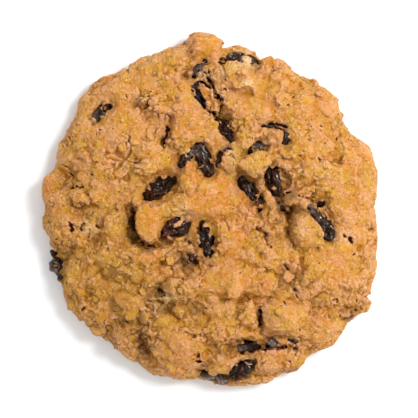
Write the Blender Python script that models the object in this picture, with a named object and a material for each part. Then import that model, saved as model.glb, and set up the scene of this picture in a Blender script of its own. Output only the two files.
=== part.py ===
"""An oatmeal raisin cookie: a lumpy round of baked crumb on a flat base, with its raisins set in pockets.

Sizes are millimetres until the meshes are made, which are in metres. +Z is up and the origin is at the
middle of the base. Headings are degrees anticlockwise from +X, seen from above.
"""

import math
from collections import namedtuple

import bmesh
import bpy
import numpy as np
from mathutils import Matrix, Vector, noise

MM = 0.001

# Driving dimensions, in millimetres.
CROWN_HEIGHT = 13.2  # top of the crumb at its middle, before its lumps
WAIST_HEIGHT = 4.2  # where the side stands furthest out
FOOT_TUCK = 2.6  # how far the side draws in from the waist down to the base
FOOT_ROLL = 64.0  # degrees that the side turns under before it meets the base
FOOT_SPARE = 1.0  # depth of crumb below the base, which is cut away to leave it flat
SHOULDER_FLATNESS = 2.9  # more makes the top flatter and the shoulder nearer to the rim
SHOULDER_ROUNDNESS = 1.9
POCKET_GAP = 0.3  # between a raisin and the crumb round it
LUMP_FADE = 4.0  # lumps fade out over this height above the waist, so that the rim keeps its outline
LUMP_STEEPNESS = 1.1  # less makes the edges of the lumps and hollows steeper
DIP_DEPTH = 1.3  # of the dip in the crumb that each raisin lies in
DIP_MARGIN = 3.0  # how much longer and wider than its raisin a dip is
UNEVENNESS = 1.0  # height of the small swells that cover the whole crumb
SWELL_LENGTH = 5.0

# How the crumb's mesh is shared out. A ball of even triangles is pressed into the round, then thinned.
BALL_SUBDIVISIONS = 6
UPPER_SHARE = 0.78  # of the triangles, above the waist
CRUMB_TRIANGLES = 4100

# The rim seen from above, as (degrees, radius) at each bulge and dip.
RIM = [
    (0, 45.0), (11, 46.8), (18, 46.8), (26, 44.4), (31, 43.3), (37, 44.6), (45, 45.8), (55, 44.0),
    (62, 45.4), (68, 43.8), (72, 42.8), (75, 44.6), (80, 45.4), (84, 45.6), (88, 48.0), (94, 48.0),
    (100, 45.7), (109, 44.6), (115, 45.1), (123, 44.5), (130, 46.0), (136, 46.2), (148, 43.9),
    (157, 43.8), (166, 43.9), (172, 45.8), (176, 45.8), (180, 44.0), (185, 45.4), (193, 43.6),
    (200, 43.2), (207, 45.2), (217, 46.4), (226, 45.2), (236, 45.2), (248, 47.0), (256, 47.4),
    (265, 46.2), (270, 46.4), (276, 48.4), (283, 48.9), (288, 49.6), (294, 48.6), (299, 49.7),
    (305, 48.2), (313, 49.9), (320, 48.4), (328, 51.2), (334, 49.2), (341, 47.8), (349, 46.9),
]

Lump = namedtuple("Lump", "x y length width heading height")
Raisin = namedtuple("Raisin", "x y lift length width thickness heading bend", defaults=(0.0,))

# The broad lumps of dough, and below them the hollows between, as ellipses on the crumb.
LUMPS = [
    # the smooth plateau in the middle, with its tip and its left shoulder
    Lump(1.0, 3.2, 17, 13, 10, 2.3),
    Lump(-5.6, 8.8, 9, 5.5, 80, 1.7),
    Lump(-9.0, 0.2, 11, 7, 15, 1.6),
    # the knob and the tongue left of it
    Lump(-16.0, -3.6, 11.5, 8, 98, 3.0),
    Lump(-14.8, -12.4, 12, 5, 8, 2.3),
    # round the middle, clockwise from the top
    Lump(10.4, 19.2, 11, 8, -30, 1.4),
    Lump(10.2, 26.4, 15, 8, -22, 1.5),
    Lump(6.2, 12.4, 6, 5, 30, 1.4),
    Lump(12.3, 12.2, 10, 7.5, 15, 2.0),
    Lump(24.2, 2.0, 9, 5, -12, 1.5),
    Lump(26.2, -5.6, 11.5, 11, 0, 3.0),
    Lump(6.0, -8.0, 10, 8, 60, 0.9),
    Lump(13.5, -11.0, 11, 8, -60, 1.0),
    Lump(6.5, -19.6, 26, 9, -4, 2.1),
    Lump(-6.8, -21.4, 12, 9, 20, 1.7),
    # the upper left quarter
    Lump(-6.8, 23.5, 19, 10.5, 76, 2.1),
    Lump(-14.6, 28.0, 11, 6.5, -32, 1.2),
    Lump(-16.2, 14.6, 9, 7, 60, 1.4),
    Lump(-16.0, 10.4, 9, 4.5, 5, 1.2),
    Lump(-24.0, 22.0, 17, 13, 30, 1.0),
    Lump(-29.5, 12.0, 13, 10, -20, 1.0),
    Lump(-12.0, 38.0, 17, 9, 22, 1.2),
    Lump(-23.0, 32.5, 12, 8, 32, 0.9),
    # the left edge
    Lump(-26.5, 4.0, 12, 9, 0, 1.1),
    Lump(-34.8, 3.2, 6.5, 5, -20, 1.3),
    Lump(-41.0, 4.0, 11, 9, 90, 1.4),
    Lump(-40.5, -4.5, 10, 8, 90, 1.1),
    Lump(-25.0, -5.0, 11, 7, 80, 1.0),
    # the lower left quarter
    Lump(-23.5, -13.6, 21, 10.5, -12, 1.9),
    Lump(-34.5, -16.8, 9.5, 12, 0, 1.6),
    Lump(-24.5, -27.2, 15, 9, 10, 1.4),
    Lump(-31.0, -28.5, 9, 6, -48, 1.0),
    Lump(-23.4, -34.6, 8.5, 7, 30, 1.2),
    Lump(-14.0, -31.0, 10, 6.5, 20, 1.0),
    Lump(-9.2, -37.6, 18, 12, -16, 2.3),
    Lump(-9.5, -44.0, 14, 4.5, -8, 1.0),
    # the lower right quarter
    Lump(2.6, -41.6, 9, 7, 0, 1.7),
    Lump(4.0, -33.0, 10, 7, 10, 0.8),
    Lump(10.2, -28.4, 7, 8, 0, 1.4),
    Lump(19.6, -29.4, 12.5, 10, -20, 2.2),
    Lump(18.8, -41.2, 16, 7, 8, 1.6),
    Lump(30.5, -33.5, 14, 9, 38, 1.1),
    Lump(29.0, -20.5, 14, 12, 0, 1.0),
    Lump(39.0, -22.0, 10, 12, 0, 0.9),
    Lump(35.0, -10.5, 12, 12, 0, 0.9),
    # the upper right quarter
    Lump(38.0, 1.5, 14, 12, 70, 0.9),
    Lump(39.5, 13.0, 14, 12, 65, 1.4),
    Lump(30.0, 9.5, 13, 9, 10, 0.8),
    Lump(30.0, 26.5, 18, 14, -45, 1.5),
    Lump(21.0, 29.5, 12, 9, -30, 0.9),
    Lump(18.5, 37.0, 12, 7, -10, 1.4),
    Lump(7.8, 35.4, 15, 7.5, -28, 2.0),
    Lump(9.0, 43.0, 10, 3.4, -5, 1.0),
    Lump(-0.8, 43.6, 14, 8, 5, 1.6),
]
HOLLOWS = [
    Lump(-13.0, 6.2, 15, 8, 35, -2.1),
    Lump(-20.6, -4.0, 12, 4.2, 98, -2.4),
    Lump(-1.2, 12.8, 13, 6.5, -70, -1.1),
    Lump(10.9, 5.0, 15, 7.5, -58, -2.2),
    Lump(17.6, 6.6, 13, 6.5, -76, -1.5),
    Lump(21.4, -5.0, 10, 3.2, 95, -1.5),
    Lump(3.0, 24.4, 19, 4.5, -62, -1.6),
    Lump(-11.4, 20.6, 11, 3.4, 70, -1.9),
    Lump(-37.4, 9.6, 8, 5, -42, -1.0),
    Lump(-37.2, -12.4, 7, 6, 0, -1.0),
    Lump(-28.2, -17.2, 9, 5, -42, -1.1),
    Lump(-22.0, -30.8, 9, 5, 0, -0.9),
    Lump(-17.6, -37.8, 15, 5, -50, -1.5),
    Lump(-6.0, -28.4, 16, 8.5, -10, -1.9),
    Lump(-11.6, -25.6, 6, 8, 0, -1.2),
    Lump(-2.0, -9.0, 16, 9, 80, -0.8),
    Lump(8.5, -23.8, 20, 4.2, -3, -1.3),
    Lump(18.8, -18.4, 9, 8, 0, -0.8),
    Lump(13.7, -29.4, 7, 2.8, 90, -1.5),
    Lump(10.0, -37.4, 14, 6, 3, -1.3),
]

# The raisins, in the same order. Lift is how far a raisin's middle is above the surface of the crumb.
RAISINS = [
    # the upper left quarter and the top
    Raisin(-29.0, 26.4, -0.7, 9.6, 3.6, 3.4, 47),
    Raisin(8.6, 40.9, -0.9, 11.0, 4.4, 3.8, -4, 1.2),
    Raisin(-3.3, 38.0, -0.7, 7.4, 3.4, 3.0, 40),
    Raisin(-1.6, 30.5, -0.5, 8.8, 6.2, 4.2, -64),
    Raisin(4.4, 21.6, -0.1, 8.4, 3.6, 3.2, -48),
    # round the middle, clockwise from the top
    Raisin(-6.4, 13.6, -0.5, 5.8, 3.0, 2.8, 55),
    Raisin(-1.4, 12.8, 0.2, 10.4, 4.0, 3.6, -70),
    Raisin(3.9, 14.6, -0.7, 5.4, 2.8, 2.8, 55),
    Raisin(13.2, 16.5, -0.6, 6.8, 3.0, 2.8, 38),
    Raisin(18.3, 20.0, -0.7, 9.0, 6.0, 4.0, -35),
    Raisin(17.2, 8.2, 0.3, 9.4, 4.2, 3.8, -78),
    Raisin(19.8, 0.9, -0.8, 4.6, 3.0, 2.8, -55),
    Raisin(11.6, 3.8, 0.2, 12.0, 4.6, 4.0, -58),
    Raisin(28.8, 1.9, -0.9, 6.4, 3.2, 3.2, 2),
    Raisin(29.6, -3.6, -0.8, 11.8, 4.2, 3.8, -52, 1.0),
    Raisin(-0.6, -8.0, -0.2, 11.2, 4.4, 3.6, -83, 0.6),
    Raisin(-5.2, -14.2, -0.9, 6.0, 3.4, 3.0, -55),
    Raisin(-8.9, -5.0, 0.2, 9.0, 5.2, 4.0, 38),
    Raisin(-13.6, 5.3, 0.2, 11.4, 4.6, 4.0, 35),
    # the edge, clockwise from the left
    Raisin(-41.2, -15.6, -0.2, 9.0, 4.8, 4.6, -74),
    Raisin(1.4, -46.0, -0.6, 8.0, 4.0, 3.4, -8),
    Raisin(9.3, -43.4, -0.3, 10.2, 5.2, 4.4, 54),
    Raisin(9.7, -37.7, -0.3, 9.0, 4.0, 3.4, 4),
    Raisin(17.2, -36.4, -0.9, 5.6, 3.4, 3.0, 12),
    Raisin(22.6, -36.6, -0.4, 4.6, 3.2, 3.0, -12),
    Raisin(38.0, -28.6, -0.7, 5.0, 3.6, 3.2, 36),
]
DIPS = [
    Lump(r.x, r.y, r.length + DIP_MARGIN, r.width + DIP_MARGIN, r.heading, -DIP_DEPTH) for r in RAISINS
]
RAISIN_PLUMPNESS = 2.7  # 2 is an ellipse, and more makes the ends blunter
RAISIN_RIBS = 3  # wrinkles that run from end to end
RIB_DEPTH = 0.2  # as a share of the raisin's girth
RIB_TWIST = 0.8  # radians, from the middle to an end
DENT_DEPTH = 0.3  # as a share of the raisin's girth
RAISIN_LENGTHS_APART = 5.0  # along the noise, so that no two raisins have the same dents
RAISIN_SIDES = 10
RAISIN_BANDS = 5


def rim_radius(angle):
    """The rim's radius at an angle in radians, on a smooth closed curve through RIM."""
    degrees = math.degrees(angle) % 360
    count = len(RIM)
    here = max(i for i in range(count) if RIM[i][0] <= degrees)

    def knot(index):
        turns, place = divmod(index, count)
        return RIM[place][0] + 360 * turns, RIM[place][1]

    (a0, r0), (a1, r1), (a2, r2), (a3, r3) = (knot(here + step) for step in (-1, 0, 1, 2))
    span = a2 - a1
    slope1 = (r2 - r0) / (a2 - a0) * span
    slope2 = (r3 - r1) / (a3 - a1) * span
    t = (degrees - a1) / span
    return (
        r1 * (1 + 2 * t) * (1 - t) ** 2
        + slope1 * t * (1 - t) ** 2
        + r2 * t * t * (3 - 2 * t)
        + slope2 * t * t * (t - 1)
    )


def crown(share):
    """Height of the lump-free top at a share of the rim's radius, from 0 at the middle to 1 at the waist."""
    fall = max(0.0, 1 - min(share, 1.0) ** SHOULDER_FLATNESS)
    return WAIST_HEIGHT + (CROWN_HEIGHT - WAIST_HEIGHT) * fall ** (1 / SHOULDER_ROUNDNESS)


def even_steps(points, radius):
    """A function that gives (share, height) at an even fraction of the way along a half section."""
    shares, heights = np.array(points).T
    lengths = np.hypot(np.diff(shares) * radius, np.diff(heights))
    along = np.concatenate([[0], np.cumsum(lengths)]) / lengths.sum()
    return lambda t: (float(np.interp(t, along, shares)), float(np.interp(t, along, heights)))


def half_sections():
    """The upper half section, from the crown to the waist, and the lower, from the waist to the base's middle."""
    radius = sum(r for _, r in RIM) / len(RIM)
    turns = np.linspace(0, math.pi / 2, 200)
    shares = np.sin(turns) ** (2 / SHOULDER_FLATNESS)
    upper = [(share, crown(share)) for share in shares]
    roll = math.radians(FOOT_ROLL)
    lower = []
    for turn in np.linspace(0, roll, 40):
        tuck = FOOT_TUCK / radius * (1 - math.cos(turn)) / (1 - math.cos(roll))
        lower.append((1 - tuck, WAIST_HEIGHT * (1 - math.sin(turn) / math.sin(roll))))
    lower.append((lower[-1][0] - FOOT_SPARE / radius, -FOOT_SPARE))
    lower.append((0.0, -FOOT_SPARE))
    return even_steps(upper, radius), even_steps(lower, radius)


def top_point(x, y):
    """The point of the lump-free top over (x, y), and the surface's normal there."""

    def height(x, y):
        return crown(math.hypot(x, y) / rim_radius(math.atan2(y, x)))

    step = 0.4
    slope_x = (height(x + step, y) - height(x - step, y)) / (2 * step)
    slope_y = (height(x, y + step) - height(x, y - step)) / (2 * step)
    return Vector((x, y, height(x, y))), Vector((-slope_x, -slope_y, 1)).normalized()


def swelling(lump, x, y):
    """How far one lump lifts the crumb's surface at (x, y), or a hollow lowers it."""
    turn = math.radians(lump.heading)
    dx, dy = x - lump.x, y - lump.y
    along = (dx * math.cos(turn) + dy * math.sin(turn)) / (lump.length / 2)
    across = (dy * math.cos(turn) - dx * math.sin(turn)) / (lump.width / 2)
    spread = along * along + across * across
    return lump.height * (1 - spread * spread) ** LUMP_STEEPNESS if spread < 1 else 0.0


def relief(x, y):
    """How far the lumps, the hollows and the raisins' dips lift the crumb's surface at (x, y)."""
    lumps = sum(swelling(lump, x, y) for lump in LUMPS + HOLLOWS)
    return lumps + min(swelling(dip, x, y) for dip in DIPS)


def faded(height_above_waist):
    """1 well above the waist and 0 at it, so that lumps leave the rim's outline alone."""
    t = min(1.0, max(0.0, height_above_waist / LUMP_FADE))
    return t * t * (3 - 2 * t)


def press_ball(mesh):
    """Moves the vertices of a unit ball to the crumb's surface."""
    upper, lower = half_sections()
    for vertex in mesh.verts:
        direction = vertex.co.normalized()
        angle = math.atan2(direction.y, direction.x)
        area = (1 - direction.z) / 2
        if area < UPPER_SHARE:
            share, height = upper(math.sqrt(area / UPPER_SHARE))
        else:
            share, height = lower(1 - math.sqrt((1 - area) / (1 - UPPER_SHARE)))
        radius = share * rim_radius(angle)
        vertex.co = Vector((radius * math.cos(angle), radius * math.sin(angle), height))


def raise_lumps(mesh):
    """Lifts the lumps out along the surface's normals."""
    mesh.normal_update()
    for vertex in mesh.verts:
        spot = vertex.co.copy()
        lift = relief(spot.x, spot.y) * faded(spot.z - WAIST_HEIGHT)
        if spot.z > 0:
            lift += UNEVENNESS * noise.noise(spot / SWELL_LENGTH)
        vertex.co = spot + vertex.normal * lift


def thinned(mesh, triangles):
    """The same shape with this many triangles, the most of them where it bends."""
    rough = add_object("rough crumb", mesh, None, None)
    thin = rough.modifiers.new("thin", "DECIMATE")
    thin.ratio = triangles / len(rough.data.polygons)
    result = bmesh.new()
    result.from_object(rough, bpy.context.evaluated_depsgraph_get())
    bpy.data.objects.remove(rough)
    return result


def cut_flat(mesh):
    """Cuts everything below the base away, which leaves one flat face there."""
    whole = mesh.verts[:] + mesh.edges[:] + mesh.faces[:]
    cut = bmesh.ops.bisect_plane(mesh, geom=whole, plane_co=(0, 0, 0), plane_no=(0, 0, 1), clear_inner=True)
    rim = [item for item in cut["geom_cut"] if isinstance(item, bmesh.types.BMEdge)]
    bmesh.ops.contextual_create(mesh, geom=rim)
    bmesh.ops.recalc_face_normals(mesh, faces=mesh.faces)


def crumb_mesh():
    """The crumb without its pockets, in metres."""
    mesh = bmesh.new()
    bmesh.ops.create_icosphere(mesh, subdivisions=BALL_SUBDIVISIONS, radius=1.0)
    press_ball(mesh)
    raise_lumps(mesh)
    mesh = thinned(mesh, CRUMB_TRIANGLES)
    cut_flat(mesh)
    bmesh.ops.scale(mesh, vec=(MM, MM, MM), verts=mesh.verts)
    return mesh


def raisin_mesh(raisin, order, grow):
    """One raisin at the origin, along X and flat in Z, in metres. grow is added to its surface all round."""
    mesh = bmesh.new()
    bmesh.ops.create_uvsphere(mesh, u_segments=RAISIN_SIDES, v_segments=RAISIN_BANDS, radius=1.0)
    bmesh.ops.rotate(mesh, verts=mesh.verts, matrix=Matrix.Rotation(math.pi / 2, 3, "Y"))
    half_length, half_width, half_thickness = (
        size / 2 + grow for size in (raisin.length, raisin.width, raisin.thickness)
    )
    for vertex in mesh.verts:
        along, out, up = vertex.co
        turn = math.atan2(up, out)
        girth = math.sqrt(1 - min(1.0, abs(along)) ** RAISIN_PLUMPNESS)
        girth *= 1 - RIB_DEPTH * (0.5 - 0.5 * math.cos(RAISIN_RIBS * turn + order + RIB_TWIST * along))
        girth *= 1 + DENT_DEPTH * noise.noise(vertex.co + Vector((order * RAISIN_LENGTHS_APART, 0, 0)))
        bow = raisin.bend * (0.5 - along * along)
        vertex.co = Vector((
            along * half_length,
            math.cos(turn) * girth * half_width + bow,
            math.sin(turn) * girth * half_thickness,
        ))
    bmesh.ops.scale(mesh, vec=(MM, MM, MM), verts=mesh.verts)
    return mesh


def raisin_place(raisin):
    """Where a raisin lies: its length along its heading, its flat side along the crumb's surface."""
    point, normal = top_point(raisin.x, raisin.y)
    lift = relief(raisin.x, raisin.y) * faded(point.z - WAIST_HEIGHT) + raisin.lift
    heading = math.radians(raisin.heading)
    ahead = Vector((math.cos(heading), math.sin(heading), 0))
    ahead = (ahead - normal * ahead.dot(normal)).normalized()
    turn = Matrix((ahead, normal.cross(ahead), normal)).transposed().to_4x4()
    return Matrix.Translation((point + normal * lift) * MM) @ turn


def food_material(name, colour, roughness):
    material = bpy.data.materials.new(name)
    material.use_nodes = True
    shader = material.node_tree.nodes["Principled BSDF"]
    shader.inputs["Base Color"].default_value = (*colour, 1)
    shader.inputs["Roughness"].default_value = roughness
    shader.inputs["Metallic"].default_value = 0
    return material


def add_object(name, mesh, material, parent):
    data = bpy.data.meshes.new(name)
    mesh.to_mesh(data)
    mesh.free()
    if material:
        data.materials.append(material)
    data.shade_smooth()
    made = bpy.data.objects.new(name, data)
    bpy.context.scene.collection.objects.link(made)
    made.parent = parent
    return made


def make_raisins(crumb, material, parent):
    """Each raisin as its own object, and the crumb cut back from it by the pocket gap."""
    pockets = bpy.data.collections.new("pockets")
    bpy.context.scene.collection.children.link(pockets)
    for order, raisin in enumerate(RAISINS):
        place = raisin_place(raisin)
        made = add_object(f"raisin_{order + 1:02}", raisin_mesh(raisin, order, 0), material, parent)
        made.matrix_world = place
        cutter = add_object(f"pocket_{order + 1:02}", raisin_mesh(raisin, order, POCKET_GAP), None, parent)
        cutter.matrix_world = place
        cutter.hide_render = True
        cutter.display_type = "WIRE"
        bpy.context.scene.collection.objects.unlink(cutter)
        pockets.objects.link(cutter)
    cut = crumb.modifiers.new("pockets", "BOOLEAN")
    cut.operation = "DIFFERENCE"
    cut.solver = "EXACT"
    cut.operand_type = "COLLECTION"
    cut.collection = pockets


def main():
    for old in list(bpy.data.objects):
        bpy.data.objects.remove(old)
    cookie = bpy.data.objects.new("cookie", None)
    bpy.context.scene.collection.objects.link(cookie)
    crumb = add_object("crumb", crumb_mesh(), food_material("baked crumb", (0.56, 0.27, 0.08), 0.75), cookie)
    make_raisins(crumb, food_material("raisin skin", (0.03, 0.012, 0.012), 0.35), cookie)


main()
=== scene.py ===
# %% [markdown]
# # An oatmeal raisin cookie
# The cookie is one round of baked crumb, full of rolled oats, with raisins set in its top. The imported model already
# has the round, its big lumps, the pockets and the place of each raisin. What it lacks is the baked surface: oat
# flakes under a thin skin of dough, cracks, pinholes, a toasted colour and the wrinkles of the raisins. Those are
# made here, as real shape wherever they are wider than about half a millimetre, and as bump below that.

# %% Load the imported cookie
import math
import random
from collections import namedtuple

import bmesh
import bpy
import numpy as np
from mathutils import Matrix, Vector, noise
from mathutils.bvhtree import BVHTree
from mathutils.kdtree import KDTree


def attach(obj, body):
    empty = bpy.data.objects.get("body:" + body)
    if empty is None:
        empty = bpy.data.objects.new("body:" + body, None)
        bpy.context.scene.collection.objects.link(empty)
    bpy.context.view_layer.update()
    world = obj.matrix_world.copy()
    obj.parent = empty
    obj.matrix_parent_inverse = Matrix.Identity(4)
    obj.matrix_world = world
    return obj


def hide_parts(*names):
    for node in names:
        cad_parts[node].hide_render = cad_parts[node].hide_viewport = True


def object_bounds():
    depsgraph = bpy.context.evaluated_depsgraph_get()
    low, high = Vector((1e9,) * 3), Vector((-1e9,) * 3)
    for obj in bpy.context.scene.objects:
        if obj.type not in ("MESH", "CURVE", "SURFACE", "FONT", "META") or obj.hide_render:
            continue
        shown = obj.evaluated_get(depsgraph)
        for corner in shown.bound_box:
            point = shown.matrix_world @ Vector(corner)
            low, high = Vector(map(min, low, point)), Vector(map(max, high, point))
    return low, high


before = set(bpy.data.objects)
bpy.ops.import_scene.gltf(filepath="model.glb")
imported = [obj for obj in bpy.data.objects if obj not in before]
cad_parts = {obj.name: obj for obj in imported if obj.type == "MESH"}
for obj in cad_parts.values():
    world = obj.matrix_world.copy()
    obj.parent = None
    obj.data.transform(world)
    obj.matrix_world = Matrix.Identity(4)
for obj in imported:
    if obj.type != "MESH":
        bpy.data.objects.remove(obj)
cad_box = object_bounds()
raisin_nodes = sorted(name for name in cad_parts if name.startswith("raisin_"))
print("box of the packed cookie, in metres:", cad_box, "raisins:", len(raisin_nodes))

# %% [markdown]
# ## Working in millimetres
# Crumbs and flakes are a few millimetres across, so every size and place below is in millimetres, with the origin at
# the middle of the base, +X to the right and +Y up as seen from above. Only the finished meshes are in metres.
# Headings are degrees anticlockwise from +X. NumPy moves all the points of a mesh at once, which Python loops
# would do far more slowly.

# %% Helpers for whole meshes
MM = 0.001
picks = random.Random(11)
noise.seed_set(5)


def spots_of(data):
    """The points of a mesh as rows of millimetres."""
    flat = np.empty(len(data.vertices) * 3)
    data.vertices.foreach_get("co", flat)
    return flat.reshape(-1, 3) / MM


def move_to(data, spots):
    data.vertices.foreach_set("co", (spots * MM).ravel())
    data.update()


def normals_of(data):
    flat = np.empty(len(data.vertices) * 3)
    data.vertices.foreach_get("normal", flat)
    return flat.reshape(-1, 3)


def ends_of(data):
    """The two points of each edge."""
    flat = np.empty(len(data.edges) * 2, dtype=np.int32)
    data.edges.foreach_get("vertices", flat)
    return flat.reshape(-1, 2)


def softened(values, ends, rounds):
    """Each row of values drawn half way to the mean of its neighbours, as many times as asked."""
    first = np.concatenate([ends[:, 0], ends[:, 1]])
    second = np.concatenate([ends[:, 1], ends[:, 0]])
    neighbours = np.maximum(np.bincount(first, minlength=len(values)), 1)
    result = np.array(values, dtype=float)
    for _ in range(rounds):
        columns = [np.bincount(first, result[second, i], len(values)) for i in range(result.shape[1])]
        result = 0.5 * result + 0.5 * np.stack(columns, axis=1) / neighbours[:, None]
    return result


def noise_at(spots, size, shift=0.0, octaves=1):
    """Smooth noise from about -1 to 1, whose bumps are this many millimetres apart."""
    away = Vector((shift, -shift, 0.7 * shift))
    if octaves == 1:
        return np.array([noise.noise(Vector(spot) / size + away) for spot in spots])
    return np.array([noise.fractal(Vector(spot) / size + away, 0.9, 2.0, octaves) for spot in spots])


def swirl_at(spots, size, shift=0.0):
    """Three smooth noises from about -1 to 1 for each point, which push points sideways as well as up."""
    away = Vector((shift, 2 * shift, -shift))
    return np.array([noise.noise_vector(Vector(spot) / size + away) for spot in spots])


def cells_at(spots, size, shift=0.0):
    """Space split into uneven cells. Gives how far inside its cell each point is, and a number from 0 to 1 per cell."""
    away = Vector((shift, -shift, 0.7 * shift))
    inside = np.empty(len(spots))
    tone = np.empty(len(spots))
    for i, spot in enumerate(spots):
        distances, centres = noise.voronoi(Vector(spot) / size + away)
        inside[i] = distances[1] - distances[0]
        tone[i] = (7.13 * centres[0].x + 11.7 * centres[0].y + 5.9 * centres[0].z) % 1.0
    return inside, tone


def smooth_step(values, low, high):
    t = np.clip((values - low) / (high - low), 0, 1)
    return t * t * (3 - 2 * t)


def merged_copy(name):
    """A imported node's mesh with its loose triangles joined up, as a bmesh."""
    mesh = bmesh.new()
    mesh.from_mesh(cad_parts[name].data)
    bmesh.ops.remove_doubles(mesh, verts=mesh.verts, dist=1e-6)
    return mesh


def piece_from(mesh, name):
    data = bpy.data.meshes.new(name)
    mesh.to_mesh(data)
    mesh.free()
    piece = bpy.data.objects.new(name, data)
    bpy.context.scene.collection.objects.link(piece)
    return piece


def apply_modifiers(piece):
    graph = bpy.context.evaluated_depsgraph_get()
    result = bpy.data.meshes.new_from_object(piece.evaluated_get(graph))
    piece.modifiers.clear()
    piece.data = result
    piece.data.name = piece.name


def keep_values(data, name, values):
    """Stores one number for each point, which a material can read by name."""
    data.attributes.new(name, "FLOAT", "POINT").data.foreach_set("value", values.astype(np.float32))


# %% [markdown]
# ## Rolled oats under the skin
# A rolled oat is a flat oval 4 to 6 mm long. In the dough it lies just under the surface at any angle, and the baked
# skin drapes over it, which gives the cookie its knobbly look. The flakes could be painted as bump, but then the
# outline and the shadows would stay smooth. Each one is a squashed ball instead, half sunk in the crumb, and all of
# them are fused with it afterwards.

# %% Where flakes lie
FLAKE_SPACING = 2.9
FLAKE_LENGTH = (3.4, 5.8)
FLAKE_SLENDERNESS = (0.62, 0.85)
FLAKE_THICKNESS = (1.0, 1.9)
FLAKE_TILT, SIDE_TILT = 20.0, 8.0
FLAKE_SINK, SIDE_SINK = (0.25, 0.75), (0.45, 0.7)
RAISIN_CLEARANCE = 0.9

# Areas of smooth dough with few flakes, as (x, y, radius).
SMOOTH_AREAS = [
    (1, 3, 7), (12, 30, 7), (-7, 9, 4), (-16, -4, 4.5), (26, -5, 5), (-29, 22, 6), (-24, 31, 5), (-7, 24, 6),
    (38, 4, 6), (36, -14, 5), (29, 26, 6), (4, -19.5, 6), (20, -29, 5), (-8, -38, 6), (0, 44, 5),
]

crumb_copy = merged_copy("crumb")
crumb_copy.faces.ensure_lookup_table()
crumb_tree = BVHTree.FromBMesh(crumb_copy)
raisin_copies = [merged_copy(name) for name in raisin_nodes]
raisin_trees = [BVHTree.FromBMesh(copy) for copy in raisin_copies]


def spots_on(mesh, spacing, tries):
    """Points on a mesh that keep this many millimetres from each other, with the normals there."""
    corners = [[v.co.copy() for v in face.verts] for face in mesh.faces]
    areas = np.array([face.calc_area() for face in mesh.faces])
    chances = np.cumsum(areas) / areas.sum()
    kept = []
    cells = {}
    for _ in range(tries):
        index = int(np.searchsorted(chances, picks.random()))
        a, b, c = corners[index][:3]
        u, v = picks.random(), picks.random()
        if u + v > 1:
            u, v = 1 - u, 1 - v
        spot = (a + (b - a) * u + (c - a) * v) / MM
        cell = tuple(int(n // spacing) for n in spot)
        near = (
            other
            for dx in (-1, 0, 1) for dy in (-1, 0, 1) for dz in (-1, 0, 1)
            for other in cells.get((cell[0] + dx, cell[1] + dy, cell[2] + dz), ())
        )
        if all((other - spot).length > spacing for other in near):
            cells.setdefault(cell, []).append(spot)
            kept.append((spot, mesh.faces[index].normal.copy()))
    return kept


def raisin_distance(spot):
    """How far a point is from the nearest raisin."""
    found = (tree.find_nearest(spot * MM)[3] for tree in raisin_trees)
    return min(found) / MM


Flake = namedtuple("Flake", "spot turn size tone")


def random_turn(normal, tilt):
    """A turn that lays a flake's flat side on the surface, tipped by up to this many degrees."""
    across = normal.orthogonal().normalized()
    across.rotate(Matrix.Rotation(picks.uniform(0, 2 * math.pi), 3, normal))
    tip = Matrix.Rotation(math.radians(picks.uniform(-tilt, tilt)), 3, across)
    up = tip @ normal
    along = across.cross(up).normalized()
    return Matrix((along, up.cross(along), up)).transposed()


flakes = []
for spot, normal in spots_on(crumb_copy, FLAKE_SPACING, 10000):
    underneath, side = normal.z < -0.9, abs(normal.z) < 0.6
    smooth = any(math.hypot(spot.x - x, spot.y - y) < r for x, y, r in SMOOTH_AREAS)
    if raisin_distance(spot) < RAISIN_CLEARANCE or (smooth and not underneath and picks.random() < 0.75):
        continue
    length = picks.uniform(*FLAKE_LENGTH)
    thickness = picks.uniform(*FLAKE_THICKNESS)
    width = length * picks.uniform(*FLAKE_SLENDERNESS)
    sink = picks.uniform(*(SIDE_SINK if side else FLAKE_SINK)) if not underneath else 0.95 * thickness / 2
    turn = random_turn(normal, 0 if underneath else SIDE_TILT if side else FLAKE_TILT)
    flakes.append(Flake(spot - normal * sink, turn, (length, width, thickness), picks.random()))
print("flakes under the skin:", len(flakes))
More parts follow.
